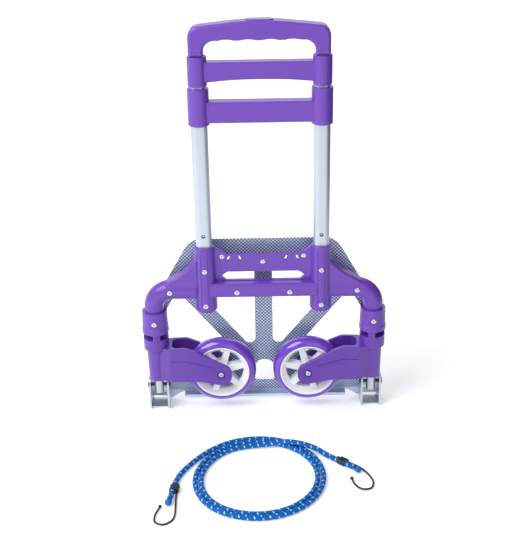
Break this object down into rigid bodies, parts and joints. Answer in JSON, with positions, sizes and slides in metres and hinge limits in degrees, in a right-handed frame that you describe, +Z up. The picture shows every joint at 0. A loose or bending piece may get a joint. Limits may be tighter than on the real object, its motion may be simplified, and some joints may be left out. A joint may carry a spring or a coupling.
{
  "type": "folding luggage cart",
  "caption": "Folding luggage cart, folded upright: telescoping handle, riveted plastic frame, folded toe plate, swing-in wheels in forks, and a coiled elastic cord with hooks.",
  "frame": {"origin": "middle of the folded cart's base on the floor, leaving out the loose elastic cord", "axes": "+Z up, +X to the right seen from behind (the side with the wheels), +Y towards the folded toe plate"},
  "size_m": [0.3916, 0.3386, 0.6442],
  "materials": {
    "purple_plastic": "satin moulded",
    "purple_fork": "satin moulded",
    "tube_aluminium": "satin anodised",
    "bare_steel": "bright zinc",
    "rivet_silver": "bright",
    "button_plastic": "satin",
    "black_plastic": "matt",
    "black_steel": "black coated",
    "plate_metal": "fine diamond embossed",
    "ear_steel": "satin zinc",
    "tyre_purple": "glossy polyurethane",
    "hub_white": "glossy",
    "cord_blue": "woven sleeve with pale flecks",
    "cord_end": "melted cord end"
  },
  "bodies": {
    "frame": {"back_frame_shell": "purple_plastic", "front_frame_shell": "purple_plastic", "frame_rivets": "rivet_silver", "lower_bridge": "purple_plastic", "collar_rivets": "rivet_silver", "base_washers": "bare_steel", "left_outer_tube": "tube_aluminium", "right_outer_tube": "tube_aluminium", "left_steel_elbow": "bare_steel", "right_steel_elbow": "bare_steel", "left_leg_rod": "bare_steel", "right_leg_rod": "bare_steel", "left_crown_collar": "purple_plastic", "right_crown_collar": "purple_plastic"},
    "middle_stage": {"upper_bridge": "purple_plastic", "left_middle_tube": "tube_aluminium", "right_middle_tube": "tube_aluminium", "middle_plugs": "black_plastic"},
    "inner_stage": {"left_inner_tube": "tube_aluminium", "right_inner_tube": "tube_aluminium", "inner_plugs": "black_plastic", "back_handle_shell": "purple_plastic", "front_handle_shell": "purple_plastic", "handle_screws": "black_steel", "release_springs": "bare_steel"},
    "release_button": {"release_button": "button_plastic", "release_yoke": "black_plastic", "release_rods": "bare_steel"},
    "inner_lock_pins": {"inner_lock_pins": "bare_steel"},
    "middle_lock_pins": {"middle_lock_pins": "bare_steel"},
    "toe_plate": {"toe_plate": "plate_metal", "left_ear_bracket": "ear_steel", "right_ear_bracket": "ear_steel", "ear_rivets": "rivet_silver", "hinge_pins": "black_steel"},
    "left_fork": {"left_fork": "purple_fork", "left_axle_bolt": "rivet_silver", "left_axle_nut": "rivet_silver"},
    "right_fork": {"right_fork": "purple_fork", "right_axle_bolt": "rivet_silver", "right_axle_nut": "rivet_silver"},
    "left_wheel": {"left_tyre": "tyre_purple", "left_wheel_hub": "hub_white", "left_wheel_bush": "bare_steel"},
    "right_wheel": {"right_tyre": "tyre_purple", "right_wheel_hub": "hub_white", "right_wheel_bush": "bare_steel"},
    "elastic_cord": {"bungee_cord": "cord_blue", "left_hook": "black_steel", "right_hook": "black_steel", "left_cord_clamp": "black_plastic", "right_cord_clamp": "black_plastic", "left_cord_knot": "cord_end", "right_cord_knot": "cord_end"}
  },
  "joints": [
    {"name": "middle_stage_slide", "type": "slide", "parent": "frame", "child": "middle_stage", "axis": [0, 0, 1], "range_m": [0, 0.185]},
    {"name": "inner_stage_slide", "type": "slide", "parent": "middle_stage", "child": "inner_stage", "axis": [0, 0, 1], "range_m": [0, 0.185]},
    {"name": "button_press", "type": "slide", "parent": "inner_stage", "child": "release_button", "axis": [0, 0, -1], "range_m": [0, 0.004], "stiffness_N_per_m": 1200, "springref_m": -0.004, "deforming": ["release_springs"]},
    {"name": "inner_pin_slide", "type": "slide", "parent": "inner_stage", "child": "inner_lock_pins", "axis": [0, 1, 0], "range_m": [0, 0.002]},
    {"name": "middle_pin_slide", "type": "slide", "parent": "middle_stage", "child": "middle_lock_pins", "axis": [0, 1, 0], "range_m": [0, 0.002]},
    {"name": "plate_fold", "type": "hinge", "parent": "frame", "child": "toe_plate", "pos_m": [0, -0.0015, 0.043], "axis": [-1, 0, 0], "range_deg": [0, 90]},
    {"name": "left_fork_swivel", "type": "hinge", "parent": "frame", "child": "left_fork", "pos_m": [-0.1745, -0.0015, 0.1], "axis": [0, 0, -1], "range_deg": [0, 90]},
    {"name": "right_fork_swivel", "type": "hinge", "parent": "frame", "child": "right_fork", "pos_m": [0.1745, -0.0015, 0.1], "axis": [0, 0, 1], "range_deg": [0, 90]},
    {"name": "left_wheel_spin", "type": "hinge", "parent": "left_fork", "child": "left_wheel", "pos_m": [-0.0705, -0.0015, 0.071], "axis": [0, 1, 0], "continuous": true},
    {"name": "right_wheel_spin", "type": "hinge", "parent": "right_fork", "child": "right_wheel", "pos_m": [0.0705, -0.0015, 0.071], "axis": [0, 1, 0], "continuous": true},
    {"name": "elastic_cord_lift", "type": "slide", "parent": "frame", "child": "elastic_cord", "axis": [0, 0, 1], "range_m": [0, 0.1]}
  ],
  "couplings": [
    {"joint": "left_fork_swivel", "follows": "plate_fold", "ratio": 1},
    {"joint": "right_fork_swivel", "follows": "plate_fold", "ratio": 1},
    {"joint": "inner_pin_slide", "follows": "button_press", "ratio": 0.5},
    {"joint": "middle_pin_slide", "follows": "button_press", "ratio": 0.5}
  ]
}
